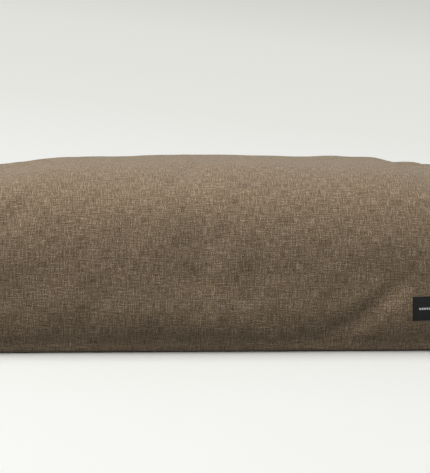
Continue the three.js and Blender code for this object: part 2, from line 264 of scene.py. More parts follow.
def make_mesh(name, points, faces, uv=None, panels=None):
    """A mesh from points in metres and faces, with the cloth's coordinates as its UV map."""
    mesh = bpy.data.meshes.new(name)
    mesh.from_pydata([tuple(p) for p in points], [], [tuple(int(i) for i in f) for f in faces])
    if uv is not None:
        mesh.uv_layers.new(name="weave").data.foreach_set("uv", np.asarray(uv, np.float32).ravel())
    if panels is not None:
        mesh.polygons.foreach_set("material_index", np.asarray(panels, np.int32))
    shade_smooth(mesh)
    mesh.update()
    return mesh


def shade_smooth(mesh):
    mesh.polygons.foreach_set("use_smooth", np.ones(len(mesh.polygons), bool))


def part_of(quads, chosen):
    """The points that the chosen quads use, and those quads renumbered to them."""
    used, faces = np.unique(quads[chosen], return_inverse=True)
    return used, faces.reshape(-1, 4)


def move_to(mesh, at):
    """Puts a mesh's points at places in mm."""
    mesh.vertices.foreach_set("co", (at * MM).astype(np.float32).ravel())
    mesh.update()


def applied(made):
    """The mesh that an object's modifiers make, without the object."""
    mesh = bpy.data.meshes.new_from_object(made.evaluated_get(bpy.context.evaluated_depsgraph_get()))
    bpy.data.objects.remove(made)
    return mesh


def read(items, what, size, kind=np.float32):
    """One property of a mesh's items, as rows of numbers."""
    values = np.zeros(len(items) * size, kind)
    items.foreach_get(what, values)
    return values.reshape(-1, size)


def coordinates_of(mesh):
    return read(mesh.vertices, "co", 3).astype(float)


def normals_of(mesh):
    return read(mesh.vertex_normals, "vector", 3).astype(float)


def smoothed(values, edges, times):
    """Values averaged with their neighbours' along the edges, again and again."""
    count = np.zeros(len(values))
    np.add.at(count, edges[:, 0], 1)
    np.add.at(count, edges[:, 1], 1)
    for _ in range(times):
        total = np.zeros_like(values)
        np.add.at(total, edges[:, 0], values[edges[:, 1]])
        np.add.at(total, edges[:, 1], values[edges[:, 0]])
        values = 0.5 * values + 0.5 * total / count[:, None]
    return values


def capped(moves, most):
    """Moves shortened smoothly, so that none is longer than most."""
    size = np.linalg.norm(moves, axis=1, keepdims=True)
    return moves * (np.tanh(size / most) * most / np.maximum(size, 1e-6))


def band_height(points):
    """Height up the leaning side bands from their middle line, in mm, of points in mm."""
    return (points[:, 2] - BAND_Z) / COS


def simulate(points, quads, panels):
    """Blows the skin up as cloth, and returns where its points go, in mm."""
    skin = panels != BASE
    used, faces = part_of(quads, skin)
    mesh = make_mesh("cloth", points[used] * MM, faces)
    cloth = put("cloth", mesh)
    at = points[used]
    at_base = at[:, 2] < 1
    up = band_height(at)
    near_zip = (np.abs(up) < 17) & (at[:, 1] > 200) & (np.abs(at[:, 0]) < 262)
    near_inner_zip = (np.abs(up) < 12) & (at[:, 0] < -360) & (np.abs(at[:, 1]) < 150)
    on_seam = np.abs(np.abs(at[:, 0]) - SEAM_X) < 0.5
    for name, chosen in (("pin", at_base | near_zip | near_inner_zip), ("shrink", on_seam | at_base)):
        cloth.vertex_groups.new(name=name).add(np.flatnonzero(chosen).tolist(), 1.0, "REPLACE")
    modifier = cloth.modifiers.new("cloth", "CLOTH")
    for name, value in CLOTH.items():
        setattr(modifier.settings, name, value)
    modifier.settings.effector_weights.gravity = 0
    modifier.collision_settings.use_collision = False
    modifier.collision_settings.use_self_collision = False
    modifier.point_cache.frame_start, modifier.point_cache.frame_end = 1, 40
    scene = bpy.context.scene
    for step in range(SIM_STEPS):
        scene.frame_set(step + 1)
    after = cloth.evaluated_get(bpy.context.evaluated_depsgraph_get()).to_mesh()
    moved = coordinates_of(after) / MM - at
    edges = read(mesh.edges, "vertices", 2, np.int32)
    cloth.to_mesh_clear()
    scene.frame_set(1)
    bpy.data.objects.remove(cloth)
    broad = smoothed(moved, edges, 40)
    fine = capped(moved - broad, FINE_CAP)
    broad = capped(broad, BROAD_CAP)
    near_zip = smooth_step(at[:, 1], 190, 230) * (1 - smooth_step(np.abs(up), 20, 48))
    near_inner_zip = (1 - smooth_step(at[:, 0], -366, -345)) * (1 - smooth_step(np.abs(up), 14, 36))
    loose = (1 - near_zip) * (1 - near_inner_zip * (1 - smooth_step(np.abs(at[:, 1]), 150, 185)))
    result = points.copy()
    result[used] = at + (fine + BROAD_SHARE * broad) * loose[:, None]
    return result


points, quads, panels, weave = cushion_grid()
points = simulate(points, quads, panels)


# ---- Refining: subdivide, lower the crown, folds, seams ----
def subdivide(made, levels):
    fine = made.modifiers.new("fine", "SUBSURF")
    fine.levels = fine.render_levels = levels
    return fine


def refined(points, quads, panels, weave, levels):
    mesh = make_mesh("skin", points * MM, quads, weave, panels)
    for _ in range(5):
        mesh.materials.append(None)
    skin = put("skin", mesh)
    fine = subdivide(skin, levels)
    fine.uv_smooth = "PRESERVE_BOUNDARIES"
    fine.boundary_smooth = "PRESERVE_CORNERS"
    return applied(skin)


def noise_at(points, size, seed):
    """Smooth noise about 0 at points in mm, with features of a size in mm."""
    shift = Vector((seed * 17.3, seed * -5.1, seed * 9.7))
    return np.array([noise.noise(Vector(p) / size + shift) for p in points])


def valley(points, line, width):
    """How deep in a fold each point is, from 0 to 1. The fold fades at the ends of its line."""
    x, z = points[:, 0], points[:, 2]
    best = np.zeros(len(points))
    run = np.concatenate([[0], np.cumsum(np.hypot(*np.diff(np.array(line, float), axis=0).T))])
    for k in range(len(line) - 1):
        a, b = np.array(line[k], float), np.array(line[k + 1], float)
        d = b - a
        t = np.clip(((x - a[0]) * d[0] + (z - a[1]) * d[1]) / (d @ d), 0, 1)
        away = np.hypot(x - a[0] - t * d[0], z - a[1] - t * d[1])
        along = (run[k] + t * (run[k + 1] - run[k])) / run[-1]
        fade = np.sin(math.pi * np.clip(along, 0.04, 0.96)) ** 0.7
        best = np.maximum(best, np.exp(-((away / width) ** 2)) * fade)
    return best


def bulge(points, most, x, z, size_x, size_z):
    return most * np.exp(-(((points[:, 0] - x) / size_x) ** 2) - ((points[:, 2] - z) / size_z) ** 2)


def crown_drop(at):
    """How far below the CAD's surface the cloth is put: none at the widest line, most at the crown's ends."""
    x, high = at[:, 0], np.clip((at[:, 2] - WIDEST) / (HEIGHT - WIDEST), 0, 1)
    drop = CROWN_DROP + END_DROP * smooth_step(np.abs(x), *END_GROWS)
    for middle, size, depth in HOLLOWS:
        drop = drop + depth * np.exp(-(((x - middle) / size) ** 2))
    return high * drop


def seam_lines(mesh):
    """Fine points on each kind of seam: the end seams, the strip's seam and the base's seam."""
    found = {"end": set(), "strip": set(), "base": set()}
    sides = {}
    for face in mesh.polygons:
        for edge in face.edge_keys:
            sides.setdefault(edge, []).append(face.material_index)
    for edge, pair in sides.items():
        if len(pair) != 2 or pair[0] == pair[1]:
            continue
        if BASE in pair:
            kind = "base"
        elif LEFT_END in pair or RIGHT_END in pair:
            kind = "end"
        else:
            kind = "strip"
        found[kind].update(edge)
    return {k: np.array(sorted(v)) for k, v in found.items()}


def nearest(points, places, reach):
    """Distance to the nearest of places, and which it is, for points within reach."""
    tree = KDTree(len(places))
    for i, p in enumerate(places):
        tree.insert(Vector(p), i)
    tree.balance()
    away, which = np.full(len(points), 1e6), np.zeros(len(points), int)
    for i, p in enumerate(points):
        _, k, d = tree.find(Vector(p))
        if d < reach:
            away[i], which[i] = d, k
    return away, which


def ripple(place, length, seed):
    """Uneven ripples along a line, from -1 to 1. place is the distance along it in mm."""
    return np.array([noise.noise(Vector((p / length, seed * 3.7, 0.5))) for p in place]) * 1.6


def shaped(mesh):
    """Where the fine skin's points go, in mm: lumps of the fill, folds, sewn seams and the lowered crown."""
    at = coordinates_of(mesh) / MM
    normal = normals_of(mesh)
    x, y, z = at.T
    drop = crown_drop(at)
    seams = seam_lines(mesh)
    zip_zone = smooth_step(y, 200, 240) * (1 - smooth_step(np.abs(band_height(at)), 18, 40))
    inner_zip_zone = (1 - smooth_step(x, -365, -345)) * (1 - smooth_step(np.abs(band_height(at)), 12, 30))
    free = (1 - zip_zone) * (1 - 0.8 * inner_zip_zone) * smooth_step(z, 2, 22)
    front = 1 - smooth_step(y, -255, -225)
    lumps = sum(height * noise_at(at, size, seed) for height, size, seed in LUMPS)
    belly, foot = (h * np.exp(-(((z - middle) / size) ** 2)) for h, middle, size in (LOW_BULGE, FOOT_ROLL))
    out = (lumps + belly) * free + foot * smooth_step(z, 0.3, 2.5)
    for depth, width, line in FOLDS:
        out -= front * free * depth * valley(at, line, width)
    out += front * free * bulge(at, *LOW_BUMP)
    out += free * bulge(at, *HIGH_BUMP) * (1 - smooth_step(y, -200, -140))
    for kind, (depth, width, gather, wave) in SEWN.items():
        line = at[seams[kind]]
        away, which = nearest(at, line, 45)
        place = np.where(kind == "end", line[which, 1] + line[which, 2], line[which, 0] + line[which, 1])
        near = np.exp(-((away / width) ** 2))
        fade = np.exp(-away / 16) * (1 - np.exp(-((away / 4) ** 2)))
        pull = ripple(place, wave, 1 + len(kind))
        zone = 1 - zip_zone if kind != "strip" else 1 - (np.abs(x) < COVER_ZIP_HALF + 4)
        keep = zone * ((z > 0.5) | (kind == "end"))
        out += keep * (-depth * near + gather * fade * pull)
        if kind == "end":
            out -= 1.5 * keep * np.exp(-((away / 26) ** 2))  # the cloth dips broadly beside the seam too
    at = at + normal * out[:, None]
    at[:, 2] -= drop
    at[:, 2] = np.maximum(at[:, 2], 0.3)
    return at


fine = refined(points, quads, panels, weave, 2)
fine_at = shaped(fine)


def open_zip(at, side):
    """Parts the seam round the zip: the cloth above (side 1) or below (-1) moves back from its middle."""
    up = band_height(at)
    along = 1 - smooth_step(np.abs(at[:, 0]), COVER_ZIP_HALF - 4, COVER_ZIP_HALF + 5)
    share = np.clip(1 - np.abs(up) / 24, 0, 1) * along * (at[:, 1] > 200)
    return at + (SLOT_HALF * side * share)[:, None] * UPWARD


def panel_arrays(mesh, at, panel):
    """One panel's points in mm, faces and UVs."""
    keep = read(mesh.polygons, "material_index", 1, np.int32)[:, 0] == panel
    corners = read(mesh.loops, "vertex_index", 1, np.int32).reshape(-1, 4)
    uv = read(mesh.uv_layers["weave"].data, "uv", 2)
    used, faces = part_of(corners, keep)
    return at[used], faces, uv.reshape(-1, 4, 2)[keep]


def boundary(faces):
    """Edges with one face, in the face's direction."""
    edges = dict.fromkeys((int(a), int(b)) for f in faces for a, b in zip(f, np.roll(f, -1)))
    return [e for e in edges if (e[1], e[0]) not in edges]


def with_hem(points, faces, uv, chosen, rows):
    """Adds strips of quads out from the chosen boundary edges. rows are offsets from the edge's points."""
    border = [e for e in boundary(faces) if chosen(points[e[0]], points[e[1]])]
    ring = sorted({i for e in border for i in e})
    place = {v: k for k, v in enumerate(ring)}
    new_points, new_faces, new_uv = [points], [faces], [uv]
    for r, offset in enumerate(rows):
        new_points.append(points[ring] + offset)
        start = len(points) + r * len(ring)
        for a, b in border:
            inner = (a, b) if r == 0 else (start - len(ring) + place[a], start - len(ring) + place[b])
            new_faces.append(np.array([[inner[1], inner[0], start + place[a], start + place[b]]]))
            u0, u1, v0, v1 = points[a][0] * MM, points[b][0] * MM, 0.0007 * r, 0.0007 * r + 0.0007
            new_uv.append(np.array([[[u1, v0], [u0, v0], [u0, v1], [u1, v1]]]))
    return np.concatenate(new_points), np.concatenate(new_faces), np.concatenate(new_uv)


def fold_rows(side):
    """A folded edge beside the zip: a small roll, then the turning under it."""
    steps = [(-0.35, -0.25), (-0.55, -0.75), (-0.4, -1.2), (0.4, -1.5), (5.0, -1.5)]
    return [side * s * UPWARD + n * OUTWARD for s, n in steps]


NAMES = {
    WRAP: ("cover_wrap", "cover_wrap_panel", "cover_fabric"),
    STRIP: ("cover_strip", "cover_back_strip", "cover_fabric"),
    LEFT_END: ("cover_left_end", "cover_left_end_panel", "cover_fabric"),
    RIGHT_END: ("cover_right_end", "cover_right_end_panel", "cover_fabric"),
    BASE: ("cover_base", "cover_base_panel", "base_fabric"),
}


# ---- Materials ----
class Nodes:
    """Builds one material's nodes."""

    def __init__(self, name, roughness, specular=0.5, sheen=0.0, metallic=0.0):
        self.material = bpy.data.materials.new(name)
        self.material.use_nodes = True
        self.tree = self.material.node_tree
        self.shader = self.tree.nodes["Principled BSDF"]
        for socket, value in (
            ("Roughness", roughness), ("Metallic", metallic), ("Specular IOR Level", specular),
            ("Sheen Weight", sheen), ("Sheen Roughness", 0.5),
        ):
            self.shader.inputs[socket].default_value = value

    def add(self, kind, **values):
        node = self.tree.nodes.new(kind)
        for k, v in values.items():
            setattr(node, k, v)
        return node

    def link(self, source, target):
        self.tree.links.new(source, target)

    def feed(self, node, *values):
        """Sets a node's inputs, by number or name, to a number, a colour or another node's output."""
        for k, value in values:
            if isinstance(value, (int, float)):
                node.inputs[k].default_value = value
            elif isinstance(value, tuple):
                node.inputs[k].default_value = (*value, 1)
            elif value is not None:
                self.link(value, node.inputs[k])

    def weave_place(self):
        return self.add("ShaderNodeUVMap", uv_map="weave").outputs["UV"]

    def object_place(self):
        return self.add("ShaderNodeTexCoord").outputs["Object"]

    def scaled(self, source, scale):
        node = self.add("ShaderNodeVectorMath", operation="MULTIPLY")
        self.link(source, node.inputs[0])
        node.inputs[1].default_value = scale
        return node.outputs[0]

    def noise(self, source, scale, detail=2.0, roughness=0.5, by=None):
        if by is not None:
            source = self.scaled(source, by)
        node = self.add("ShaderNodeTexNoise")
        self.feed(node, ("Vector", source), ("Scale", scale), ("Detail", detail), ("Roughness", roughness))
        return node.outputs["Fac"]

    def math(self, operation, a, b=None, clamp=False):
        node = self.add("ShaderNodeMath", operation=operation, use_clamp=clamp)
        self.feed(node, (0, a), (1, b))
        return node.outputs[0]

    def mix(self, factor, a, b, blend="MIX"):
        node = self.add("ShaderNodeMix", data_type="RGBA", blend_type=blend)
        self.feed(node, (0, factor), (6, a), (7, b))
        return node.outputs[2]

    def ramp(self, factor, *stops):
        node = self.add("ShaderNodeValToRGB")
        while len(node.color_ramp.elements) < len(stops):
            node.color_ramp.elements.new(0.5)
        for element, (at, colour) in zip(node.color_ramp.elements, stops):
            element.position, element.color = at, (*colour, 1)
        self.link(factor, node.inputs[0])
        return node.outputs[0]

    def colour(self, source):
        self.link(source, self.shader.inputs["Base Color"])

    def sum(self, *terms):
        """The sum of two sources, each times a number or another source; a whole 1 leaves it as it is."""
        return self.math("ADD", *(a if isinstance(w, int) else self.math("MULTIPLY", a, w) for a, w in terms))

    def split(self, source):
        """The x, y and z of a vector, or the channels of a colour."""
        node = self.add("ShaderNodeSeparateXYZ")
        self.link(source, node.inputs[0])
        return node.outputs

    def cells(self, source, scale):
        node = self.add("ShaderNodeTexVoronoi", feature="F1")
        self.feed(node, ("Vector", source), ("Scale", scale))
        return node.outputs

    def bump(self, height, strength, distance):
        node = self.add("ShaderNodeBump")
        self.feed(node, ("Strength", strength), ("Distance", distance), ("Height", height))
        self.link(node.outputs[0], self.shader.inputs["Normal"])

    def rough(self, source):
        self.link(source, self.shader.inputs["Roughness"])


def yarns(n, place, pitch):
    """Plain weave: (1 where a lengthwise yarn is on top, height of the yarns)."""
    turn = math.pi / pitch
    parts = n.split(n.scaled(place, (turn, turn, 1)))
    across, up = n.math("SINE", parts[0]), n.math("SINE", parts[1])
    product = n.math("MULTIPLY", across, up)
    over = n.math("GREATER_THAN", product, 0.0)
    height = n.math("POWER", n.math("ABSOLUTE", product), 0.5)
    return over, height


BROWNS = (
    (0.30, (0.070, 0.045, 0.024)), (0.45, (0.215, 0.152, 0.094)),
    (0.55, (0.305, 0.224, 0.143)), (0.70, (0.60, 0.465, 0.325)),
)


def linen_look():
    """Melange upholstery weave: slubby yarns of several browns, light and dark, crossing in a plain weave."""
    n = Nodes("linen_look", roughness=0.93, sheen=0.2, specular=0.25)
    n.shader.inputs["Sheen Tint"].default_value = (0.9, 0.86, 0.8, 1)
    place = n.weave_place()
    along = n.noise(place, 1.0, 3.0, 0.6, by=(75, 820, 1))
    across = n.noise(place, 1.0, 3.0, 0.6, by=(820, 75, 1))
    over, height = yarns(n, place, 0.00115)
    weft = n.ramp(along, *BROWNS)
    warp = n.ramp(across, *BROWNS)
    cloth = n.mix(over, weft, warp)
    fleck = n.noise(place, 700.0, 2.0, 0.7)
    shade = n.ramp(fleck, (0.36, (0.36, 0.35, 0.33)), (0.64, (1.64, 1.64, 1.62)))
    cloth = n.mix(0.68, cloth, shade, "MULTIPLY")
    mottle = n.noise(place, 26.0, 2.0, 0.5)
    cloth = n.mix(0.1, cloth, n.ramp(mottle, (0.3, (0.8, 0.8, 0.8)), (0.7, (1.2, 1.2, 1.2))), "MULTIPLY")
    n.colour(cloth)
    n.bump(n.sum((height, 1), (n.sum((along, 0.8), (across, 0.8)), 1)), 0.55, 0.0005)
    return n.material


def plain_weave(name, dark, light, pitch, place="weave"):
    """A single-colour plain weave with a little unevenness, and painted shade between the yarns, so that their
    crowns are paler.
    """
    n = Nodes(name, roughness=0.85, sheen=0.08, specular=0.3)
    at = n.weave_place() if place == "weave" else n.object_place()
    over, height = yarns(n, at, pitch)
    mixed = n.sum((n.noise(at, 400.0, 3.0, 0.6), 0.6), (n.noise(at, 18.0, 2.0, 0.5), 0.4))
    # painted shade: the yarns' height lightens their crowns and leaves the hollows between them darker
    n.colour(n.mix(n.math("MULTIPLY", height, 0.25), n.ramp(mixed, (0.35, dark), (0.65, light)), light))
    n.bump(n.sum((height, 1), (over, 0.2)), 0.4, 0.0004)
    return n.material


def dotted_base_look():
    """Plain cloth with rows of small rubber dots, so that the base doesn't slip."""
    n = Nodes("base_cloth", roughness=0.85, sheen=0.06, specular=0.3)
    place = n.weave_place()
    _, height = yarns(n, place, 0.0009)
    pitch, dot_size = 0.006, 0.035  # metres from dot to dot, and the square of a dot's radius in pitches
    parts = n.split(n.scaled(place, (1 / pitch, 1 / pitch, 1)))
    off = [n.math("SUBTRACT", n.math("FRACT", parts[k]), 0.5) for k in (0, 1)]
    away = n.sum((off[0], off[0]), (off[1], off[1]))
    dot = n.math("LESS_THAN", away, dot_size)
    dome = n.math("MULTIPLY", n.math("SUBTRACT", dot_size, away, clamp=True), 40.0)
    fleck = n.noise(place, 400.0, 3.0, 0.6)
    cloth = n.ramp(fleck, (0.35, (0.048, 0.036, 0.025)), (0.65, (0.090, 0.070, 0.050)))
    n.colour(n.mix(dot, cloth, (0.020, 0.018, 0.016)))
    n.rough(n.math("SUBTRACT", 0.85, n.math("MULTIPLY", dot, 0.35)))
    n.bump(n.sum((height, 0.4), (dome, 1)), 0.5, 0.0006)
    return n.material


linen = linen_look()
base_cloth = dotted_base_look()

# ---- The cover's panels ----
def finished(made, material, node=None):
    """Gives a piece its material and its place on the cushion."""
    made.data.materials.clear()
    made.data.materials.append(material)
    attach(made, "cushion")
    if node:
        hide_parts(node)
    return made


def along_zip(a, b):
    """Whether an edge from a to b lies along the cover zip's opening."""
    up = abs(a[2] - BAND_Z) / COS
    return a[1] > 200 and max(abs(a[0]), abs(b[0])) < COVER_ZIP_HALF - 3 and 3 < up < 9


for panel, (name, node, slot) in NAMES.items():
    at, faces, uv = panel_arrays(fine, fine_at, panel)
    if panel in (WRAP, STRIP):
        side = 1 if panel == WRAP else -1
        at, faces, uv = with_hem(open_zip(at, side), faces, uv, along_zip, fold_rows(side))
    made = put(name, make_mesh(name, at * MM, faces, uv))
    finished(made, base_cloth if panel == BASE else linen, node)


def out_of(band, local):
    """Points in a band's frame, as points in the part's frame."""
    return np.atleast_2d(local) @ band[0] + band[1]


def tree_of(mesh):
    """A search tree of a mesh's surface, in mm."""
    return BVHTree.FromPolygons([v.co / MM for v in mesh.vertices], [p.vertices[:] for p in mesh.polygons])


def kept_inside(points, tree, gap):
    """Points moved in where they are less than a gap inside a surface."""
    moved = points.copy()
    for i, p in enumerate(points):
        place, normal, _, _ = tree.find_nearest(Vector(p))
        depth = (Vector(p) - place).dot(normal)
        if depth > -gap and (Vector(p) - place).length < 40:
            moved[i] = np.array(place) - np.array(normal) * gap
    return moved


def laid_on(band, local, tree, above):
    """Points in a band's frame laid a little above a surface: (points, the surface's height in the frame)."""
    from_out = 25.0
    inward = Vector(-band[0][2])
    level = []
    for start in out_of(band, np.column_stack([local, np.full(len(local), from_out)])):
        hit = tree.ray_cast(Vector(start), inward, 60)[0]
        level.append(from_out - (hit - Vector(start)).length if hit else 0.0)
    level = np.array(level)
    return out_of(band, np.column_stack([local, level + above])), level


def tube(path, radius, sides):
    """A round thread along a path of points, closed at its ends."""
    path = np.asarray(path, float)
    along = np.gradient(path, axis=0)
    along /= np.linalg.norm(along, axis=1, keepdims=True)
    side = np.cross(along, [0.13, 0.29, 0.95])
    side /= np.linalg.norm(side, axis=1, keepdims=True)
    other = np.cross(along, side)
    turn = np.linspace(0, 2 * math.pi, sides, endpoint=False)
    ring = side[:, None] * np.cos(turn)[None, :, None] + other[:, None] * np.sin(turn)[None, :, None]
    points = (path[:, None] + ring * radius).reshape(-1, 3)
    faces = []
    for k in range(len(path) - 1):
        for j in range(sides):
            a, b = k * sides + j, k * sides + (j + 1) % sides
            faces.append((a, b, b + sides, a + sides))
    faces.append(tuple(range(sides))[::-1])
    faces.append(tuple(range((len(path) - 1) * sides, len(path) * sides)))
    return points, faces


def joined(parts):
    verts, faces, start = [], [], 0
    for v, f in parts:
        verts.append(v)
        faces += [tuple(i + start for i in face) for face in f]
        start += len(v)
    return np.concatenate(verts), faces


def grid_uv(u, v):
    """UVs of a grid's quads from each point's u and v."""
    return np.stack([np.stack([u[c], v[c]], -1) for c in QUAD], -2).reshape(-1, 4, 2)


def grid_faces(columns, rows):
    ids = np.arange(columns * rows).reshape(columns, rows)
    return np.stack([ids[c] for c in QUAD], -1).reshape(-1, 4)


move_to(fine, fine_at)
cover_tree = tree_of(fine)


# ---- More materials ----
lining = plain_weave("lining", (0.62, 0.58, 0.50), (0.76, 0.73, 0.65), 0.0006)
brown_thread = plain_weave("brown_thread", (0.30, 0.225, 0.15), (0.46, 0.37, 0.27), 0.0004, place="object")
black_thread = plain_weave("black_thread", (0.010, 0.010, 0.011), (0.030, 0.029, 0.031), 0.0004, place="object")
pale_thread = plain_weave("pale_thread", (0.52, 0.49, 0.43), (0.70, 0.67, 0.60), 0.0004, place="object")


def slab_look():
    """Open-cell foam: close-set small pores with painted shade in them, so that it is paler on the high spots,
    and a little uneven in tone.
    """
    n = Nodes("slab_look", roughness=0.95, sheen=0.05, specular=0.2)
    place = n.object_place()
    pores = n.cells(place, 520)["Distance"]
    # painted shade: the pores' depth darkens the colour in them; the noise adds uneven tone
    level = n.sum((pores, 0.7), (n.noise(place, 14.0, 3.0, 0.6), 0.5))
    n.colour(n.ramp(level, (0.25, (0.66, 0.60, 0.44)), (0.75, (0.80, 0.75, 0.60))))
    n.bump(pores, 0.7, 0.0012)
    return n.material


def flake_look():
    """A mass of torn foam flakes, each its own shade, darker towards their edges as painted shade in the gaps
    between them.
    """
    n = Nodes("flake_look", roughness=0.95, sheen=0.05, specular=0.2)
    place = n.object_place()
    bits = n.cells(place, 75)
    shade = n.split(bits["Color"])[0]
    tint = n.ramp(shade, (0.0, (0.60, 0.55, 0.46)), (0.5, (0.74, 0.70, 0.60)), (1.0, (0.84, 0.82, 0.76)))
    # painted shade: each flake darkens towards its edge, where the bump sinks into the gap between flakes
    gap = n.ramp(bits["Distance"], (0.35, (1, 1, 1)), (0.75, (0.55, 0.53, 0.5)))
    n.colour(n.mix(1.0, tint, gap, "MULTIPLY"))
    pores = n.noise(place, 900.0, 2.0, 0.6)
    n.bump(n.math("SUBTRACT", n.math("MULTIPLY", pores, 0.3), bits["Distance"]), 0.8, 0.004)
    return n.material


def tape_look(name, along):
    """Zip tape: fine ribbed weave, along x or y, with painted shade between the yarns."""
    n = Nodes(name, roughness=0.8, sheen=0.1, specular=0.35)
    parts = n.split(n.object_place())
    flat = n.add("ShaderNodeCombineXYZ")
    n.feed(flat, (0, parts[along]), (1, parts["Z"]))
    over, height = yarns(n, flat.outputs[0], 0.0007)
    uneven = n.noise(n.object_place(), 500.0, 3.0, 0.6)
    # painted shade: the yarns' height makes their crowns paler and the hollows between them darker; the noise
    # is uneven tone
    tone = n.sum((uneven, 0.7), (height, 0.3))
    n.colour(n.ramp(tone, (0.3, (0.040, 0.030, 0.021)), (0.7, (0.098, 0.076, 0.056))))
    n.bump(n.sum((height, 1), (over, 0.3)), 0.5, 0.0003)
    return n.material


def coil_look():
    n = Nodes("coil_look", roughness=0.38, specular=0.5)
    tone = n.noise(n.object_place(), 300.0, 2.0, 0.5)
    n.colour(n.ramp(tone, (0.3, (0.030, 0.024, 0.018)), (0.7, (0.068, 0.056, 0.043))))
    n.bump(tone, 0.15, 0.0001)
    return n.material


def metal_look():
    """Dark lacquered zinc, rubbed paler on its edges."""
    n = Nodes("metal_look", roughness=0.35, metallic=1.0, specular=0.5)
    place = n.object_place()
    geometry = n.add("ShaderNodeNewGeometry")
    edge = n.ramp(geometry.outputs["Pointiness"], (0.50, (0, 0, 0)), (0.60, (1, 1, 1)))
    tone = n.noise(place, 600.0, 3.0, 0.6)
    body = n.ramp(tone, (0.3, (0.125, 0.114, 0.100)), (0.7, (0.225, 0.208, 0.185)))
    n.colour(n.mix(n.math("MULTIPLY", edge, 0.2), body, (0.42, 0.40, 0.37)))
    n.rough(n.math("ADD", n.math("MULTIPLY", tone, 0.3), 0.2))
    n.bump(tone, 0.12, 0.0002)
    return n.material


def tag_look():
    """Black damask-woven tag with a row of plain pale dashes woven in, and painted shade between its yarns."""
    n = Nodes("tag_look", roughness=0.75, sheen=0.06, specular=0.3)
    place = n.weave_place()
    _, height = yarns(n, place, 0.00038)
    ribs = n.noise(place, 1.0, 2.0, 0.5, by=(90, 2600, 1))
    # painted shade: the yarns' height makes the hollows between them darker; the ribs are the weave's own tone
    tone = n.sum((ribs, 0.7), (height, 0.3))
    black = n.ramp(tone, (0.3, (0.0045, 0.0045, 0.0048)), (0.7, (0.0160, 0.0160, 0.0170)))
    u, v, _ = n.split(place)
    pitch, half_run = 0.00264, 0.0066  # five dashes, in metres
    tall = n.math("LESS_THAN", n.math("ABSOLUTE", v), 0.00105)
    wide = n.math("LESS_THAN", n.math("ABSOLUTE", u), half_run)
    share = n.math("FRACT", n.math("DIVIDE", n.math("ADD", u, half_run + 400 * pitch), pitch))
    dash = n.math("GREATER_THAN", share, 0.22)
    mark = n.math("MULTIPLY", n.math("MULTIPLY", tall, wide), dash)
    pale = n.ramp(ribs, (0.3, (0.70, 0.69, 0.67)), (0.7, (0.88, 0.87, 0.85)))
    n.colour(n.mix(mark, black, pale))
    n.bump(n.math("ADD", n.math("ADD", height, ribs), mark), 0.5, 0.00025)
    return n.material


def satin_look():
    n = Nodes("satin_look", roughness=0.42, sheen=0.2, specular=0.5)
    place = n.object_place()
    ribs = n.noise(place, 1.0, 2.0, 0.5, by=(2200, 60, 60))
    n.colour(n.ramp(ribs, (0.3, (0.72, 0.72, 0.71)), (0.7, (0.86, 0.86, 0.85))))
    n.bump(ribs, 0.25, 0.0002)
    return n.material


slab_foam, flakes, coil_plastic, metal = slab_look(), flake_look(), coil_look(), metal_look()
tag_cloth, satin = tag_look(), satin_look()


# ---- The inner bag ----
def inner_bag():
    """Makes the lining bag, open along its zip, and returns a search tree of it whole."""
    skin = panels != BASE
    used, faces = part_of(quads, skin)
    bag = put("bag_start", make_mesh("bag_start", points[used] * MM, faces, weave[skin]))
    subdivide(bag, 1)
    mesh = applied(bag)
    at, normal = coordinates_of(mesh) / MM, normals_of(mesh)
    at[:, 2] -= crown_drop(at)
    up = band_height(at)
    zip_near = (1 - smooth_step(at[:, 0], -352, -335)) * (1 - smooth_step(np.abs(up), 14, 32))
    zip_near *= 1 - smooth_step(np.abs(at[:, 1]), 160, 190)
    creases = 0.9 * np.abs(noise_at(at, 42, 11)) + 0.5 * np.abs(noise_at(at, 17, 12))
    at -= normal * (5.0 + 2.2 * creases * (1 - zip_near))[:, None]
    moved = kept_inside(at, cover_tree, 2.6)
    at = np.where(zip_near[:, None] > 0.3, at, moved)
    at[:, 2] = np.maximum(at[:, 2], 6.3)
    move_to(mesh, at)
    whole = tree_of(mesh)
    shape = bmesh.new()
    shape.from_mesh(mesh)
    axes, origin = LEFT_BAND

    def near(element, reach_x, reach_y):
        c = np.mean([v.co for v in element.verts], 0) / MM
        local = axes @ (c - origin)
        return local[2] > -30 and abs(local[0]) < reach_x and abs(local[1]) < reach_y

    for axis, place in ((1, SLOT_HALF), (1, -SLOT_HALF), (0, LINER_ZIP_HALF), (0, -LINER_ZIP_HALF)):
        faces = [f for f in shape.faces if near(f, 175, 30)]
        edges = list(dict.fromkeys(e for f in faces for e in f.edges))
        corners = list(dict.fromkeys(v for f in faces for v in f.verts))
        cut, at_plane = faces + edges + corners, (origin + axes[axis] * place) * MM
        bmesh.ops.bisect_plane(shape, geom=cut, plane_co=at_plane, plane_no=axes[axis], dist=1e-7)
    gone = [f for f in shape.faces if near(f, LINER_ZIP_HALF, SLOT_HALF)]
    bmesh.ops.delete(shape, geom=gone, context="FACES")
    rim = [e for e in shape.edges if e.is_boundary and near(e, LINER_ZIP_HALF + 2, SLOT_HALF + 1)]
    for inward, across in ((0.5, 0.25), (0.6, -0.35)):
        new = bmesh.ops.extrude_edge_only(shape, edges=rim)["geom"]
        verts = [g for g in new if isinstance(g, bmesh.types.BMVert)]
        rim = [g for g in new if isinstance(g, bmesh.types.BMEdge)]
        for v in verts:
            side = math.copysign(1, float(axes[1] @ (np.array(v.co) / MM - origin)))
            v.co -= Vector((axes[2] * inward + axes[1] * side * across) * MM)
    shape.to_mesh(mesh)
    shape.free()
    shade_smooth(mesh)
    made = put("liner_bag", mesh)
    finished(made, lining, "liner_upper")
    return whole


